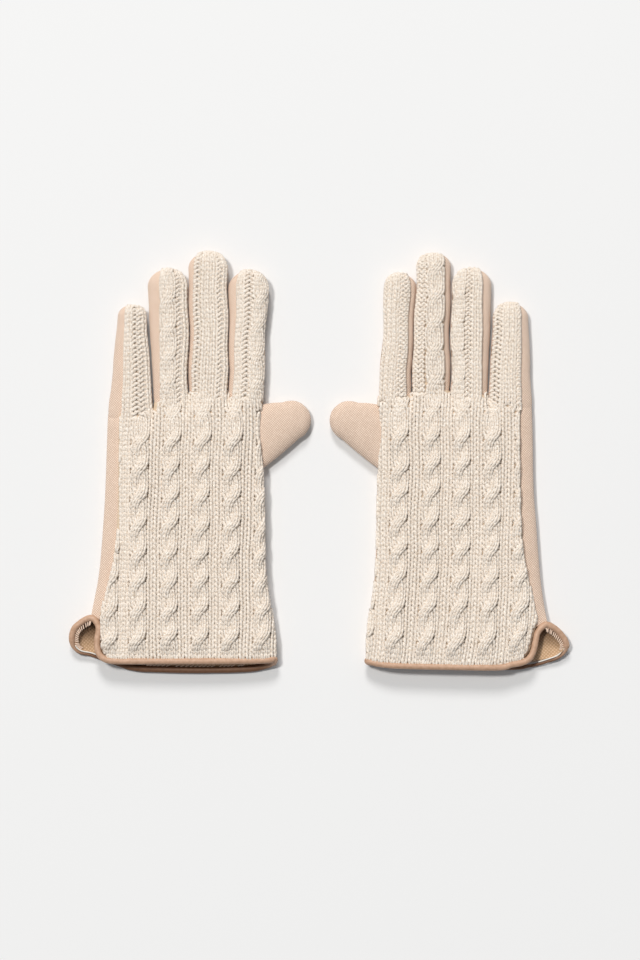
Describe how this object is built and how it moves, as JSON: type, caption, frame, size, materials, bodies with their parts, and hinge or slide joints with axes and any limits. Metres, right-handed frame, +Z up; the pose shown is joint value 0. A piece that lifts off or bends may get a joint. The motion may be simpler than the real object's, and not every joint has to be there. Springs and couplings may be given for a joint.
{
  "type": "pair of gloves",
  "caption": "Pair of long-fingered dress gloves with cable-knit backs, jersey palms, thumbs and finger sides, and a bound cuff with a flared side vent, lying flat with palms down",
  "frame": {"origin": "on the table under the middle of the pair", "axes": "+X across the pair from the left glove to the right, +Y towards the fingertips, +Z up"},
  "size_m": [0.2875, 0.242, 0.0139],
  "materials": {
    "cable_knit": "soft marled cream knit",
    "jersey": "fine peach jersey",
    "lining": "smooth tan lining cloth",
    "binding": "smooth tan leather-look binding",
    "thread": "off-white sewing thread"
  },
  "bodies": {
    "left_hand": {"left_knit_back": "cable_knit", "left_palm": "jersey", "left_outer_side": "jersey", "left_inner_side": "jersey", "left_hand_lining": "lining", "left_cuff_binding": "binding", "left_hem_thread": "thread"},
    "left_thumb": {"left_thumb_top": "jersey", "left_thumb_under": "jersey", "left_thumb_lining": "lining"},
    "left_index": {"left_index_knit": "cable_knit", "left_index_front": "jersey", "left_index_side_strips": "jersey", "left_index_lining": "lining"},
    "left_middle": {"left_middle_knit": "cable_knit", "left_middle_front": "jersey", "left_middle_side_strips": "jersey", "left_middle_lining": "lining"},
    "left_ring": {"left_ring_knit": "cable_knit", "left_ring_front": "jersey", "left_ring_side_strips": "jersey", "left_ring_lining": "lining"},
    "left_little": {"left_little_knit": "cable_knit", "left_little_front": "jersey", "left_little_side_strips": "jersey", "left_little_lining": "lining"},
    "right_hand": {"right_knit_back": "cable_knit", "right_palm": "jersey", "right_outer_side": "jersey", "right_inner_side": "jersey", "right_hand_lining": "lining", "right_cuff_binding": "binding", "right_hem_thread": "thread"},
    "right_thumb": {"right_thumb_top": "jersey", "right_thumb_under": "jersey", "right_thumb_lining": "lining"},
    "right_index": {"right_index_knit": "cable_knit", "right_index_front": "jersey", "right_index_side_strips": "jersey", "right_index_lining": "lining"},
    "right_middle": {"right_middle_knit": "cable_knit", "right_middle_front": "jersey", "right_middle_side_strips": "jersey", "right_middle_lining": "lining"},
    "right_ring": {"right_ring_knit": "cable_knit", "right_ring_front": "jersey", "right_ring_side_strips": "jersey", "right_ring_lining": "lining"},
    "right_little": {"right_little_knit": "cable_knit", "right_little_front": "jersey", "right_little_side_strips": "jersey", "right_little_lining": "lining"}
  },
  "joints": [
    {"name": "left_index_fold", "type": "hinge", "parent": "left_hand", "child": "left_index", "pos_m": [-0.04145, 0.035, 0], "axis": [-1, 0, 0], "range_deg": [0, 85]},
    {"name": "left_middle_fold", "type": "hinge", "parent": "left_hand", "child": "left_middle", "pos_m": [-0.06295, 0.0365, 0], "axis": [-1, 0, 0], "range_deg": [0, 85]},
    {"name": "left_ring_fold", "type": "hinge", "parent": "left_hand", "child": "left_ring", "pos_m": [-0.08405, 0.032, 0], "axis": [-1, 0, 0], "range_deg": [0, 85]},
    {"name": "left_little_fold", "type": "hinge", "parent": "left_hand", "child": "left_little", "pos_m": [-0.10805, 0.025, 0], "axis": [-1, 0, 0], "range_deg": [0, 85]},
    {"name": "left_thumb_fold", "type": "hinge", "parent": "left_hand", "child": "left_thumb", "pos_m": [-0.03235, 0.0145, 0], "axis": [0, 1, 0], "range_deg": [0, 75]},
    {"name": "right_index_fold", "type": "hinge", "parent": "right_hand", "child": "right_index", "pos_m": [0.04325, 0.0355, 0], "axis": [-1, 0, 0], "range_deg": [0, 85]},
    {"name": "right_middle_fold", "type": "hinge", "parent": "right_hand", "child": "right_middle", "pos_m": [0.06455, 0.0385, 0], "axis": [-1, 0, 0], "range_deg": [0, 85]},
    {"name": "right_ring_fold", "type": "hinge", "parent": "right_hand", "child": "right_ring", "pos_m": [0.08635, 0.036, 0], "axis": [-1, 0, 0], "range_deg": [0, 85]},
    {"name": "right_little_fold", "type": "hinge", "parent": "right_hand", "child": "right_little", "pos_m": [0.11025, 0.031, 0], "axis": [-1, 0, 0], "range_deg": [0, 85]},
    {"name": "right_thumb_fold", "type": "hinge", "parent": "right_hand", "child": "right_thumb", "pos_m": [0.03335, 0.0145, 0], "axis": [0, -1, 0], "range_deg": [0, 75]},
    {"name": "right_glove_lift", "type": "slide", "parent": "left_hand", "child": "right_hand", "axis": [0, 0, 1], "range_m": [0, 0.12]}
  ]
}
